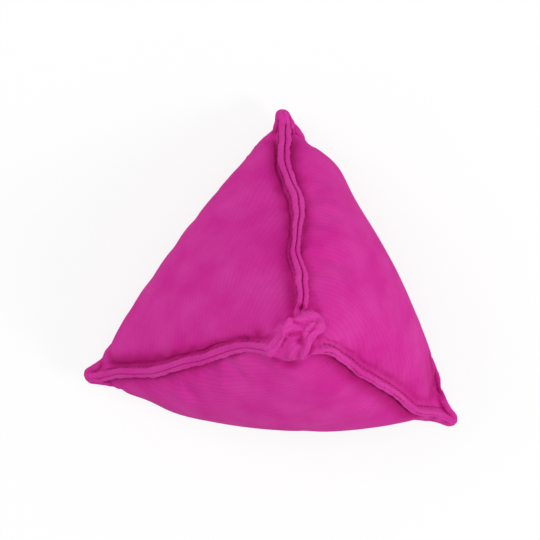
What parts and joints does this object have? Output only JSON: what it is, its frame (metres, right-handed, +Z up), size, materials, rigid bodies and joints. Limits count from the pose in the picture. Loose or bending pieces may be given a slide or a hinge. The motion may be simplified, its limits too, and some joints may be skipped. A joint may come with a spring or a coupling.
{
  "type": "toss bean bag",
  "caption": "Pyramid-shaped toss bean bag: pellet-filled triangular cloth panels joined by raised, topstitched seams that end in small corner ears, resting on a flat face.",
  "frame": {"origin": "on the floor under the bag, on the flat of the base panel, where the bearings of the floor corners meet", "axes": "+Z up, from the base panel to the peak; +Y towards the rear corner; +X towards the right corner's side, along the front seam"},
  "size_m": [0.1258, 0.1072, 0.0853],
  "materials": {
    "twill": "matte magenta-pink cotton twill",
    "thread": "matching spun polyester sewing thread",
    "pellets": "loose off-white plastic pellets"
  },
  "bodies": {
    "root": {"left_panel": "twill", "right_panel": "twill", "front_panel": "twill", "base_panel": "twill", "pellet_fill": "pellets", "rear_seam_needle_thread": "thread", "rear_seam_bobbin_thread": "thread", "rear_seam_join_thread": "thread", "left_seam_needle_thread": "thread", "left_seam_bobbin_thread": "thread", "left_seam_join_thread": "thread", "right_seam_needle_thread": "thread", "right_seam_bobbin_thread": "thread", "right_seam_join_thread": "thread", "base_left_seam_needle_thread": "thread", "base_left_seam_bobbin_thread": "thread", "base_left_seam_join_thread": "thread", "base_right_seam_needle_thread": "thread", "base_right_seam_bobbin_thread": "thread", "base_right_seam_join_thread": "thread", "base_front_seam_needle_thread": "thread", "base_front_seam_bobbin_thread": "thread", "base_front_seam_join_thread_left": "thread", "base_front_seam_join_thread_right": "thread"}
  },
  "joints": []
}
